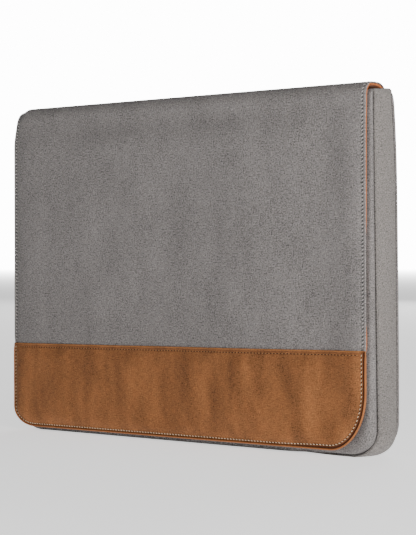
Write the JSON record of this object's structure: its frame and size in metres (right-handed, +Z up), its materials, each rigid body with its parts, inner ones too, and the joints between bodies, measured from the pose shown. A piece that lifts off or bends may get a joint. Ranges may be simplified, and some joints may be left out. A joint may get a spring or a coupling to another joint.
{
  "type": "laptop sleeve",
  "caption": "Padded canvas laptop sleeve with an orange lining and a flap that folds over the mouth and front, finished with a tan suede band.",
  "frame": {"origin": "middle of the base, on the surface that the sleeve stands on", "axes": "+Z up, from the base to the mouth; the flap covers the -Y front; +X to the right as seen from the front"},
  "size_m": [0.38, 0.041, 0.276],
  "materials": {
    "canvas": "matte plain-weave cotton canvas, mid grey",
    "canvas_light": "matte plain-weave cotton canvas, mid grey",
    "lining": "fine orange twill",
    "foam": "closed-cell foam padding",
    "suede": "tan suede, brushed nap",
    "binding": "orange-tan rolled edge",
    "thread_cream": "cream sewing thread",
    "thread_tan": "tan sewing thread",
    "thread_grey": "dark grey sewing thread",
    "magnet": "plain steel disc"
  },
  "bodies": {
    "pouch": {"gusset_canvas": "canvas_light", "gusset_foam": "foam", "gusset_lining": "lining", "gusset_hem_left": "canvas_light", "gusset_hem_right": "canvas_light", "front_panel_canvas": "canvas", "front_panel_foam": "foam", "front_panel_lining": "lining", "front_opening_hem": "canvas", "front_keeper_left": "magnet", "front_keeper_right": "magnet", "back_panel_canvas": "canvas", "back_panel_foam": "foam", "back_panel_lining": "lining", "flap_root_canvas": "canvas", "flap_root_lining": "lining", "flap_seam_tape": "canvas"},
    "flap_fold": {"fold_canvas": "canvas", "fold_lining": "lining"},
    "flap": {"flap_canvas": "canvas", "flap_interlining": "foam", "flap_lining": "lining", "flap_suede_band": "suede", "band_edge_binding": "binding", "band_edge_thread": "thread_cream", "band_top_thread": "thread_tan", "flap_edge_thread_left": "thread_grey", "flap_edge_thread_right": "thread_grey", "flap_magnet_left": "magnet", "flap_magnet_right": "magnet"}
  },
  "joints": [
    {"name": "flap_lift", "type": "hinge", "parent": "pouch", "child": "flap_fold", "pos_m": [0, 0.00393, 0.27243], "axis": [-1, 0, 0], "range_deg": [0, 150]},
    {"name": "flap_turn", "type": "hinge", "parent": "flap_fold", "child": "flap", "pos_m": [0, -0.01756, 0.27366], "axis": [-1, 0, 0], "range_deg": [0, 172.5]}
  ],
  "couplings": [
    {"joint": "flap_turn", "follows": "flap_lift", "ratio": 1.15}
  ]
}
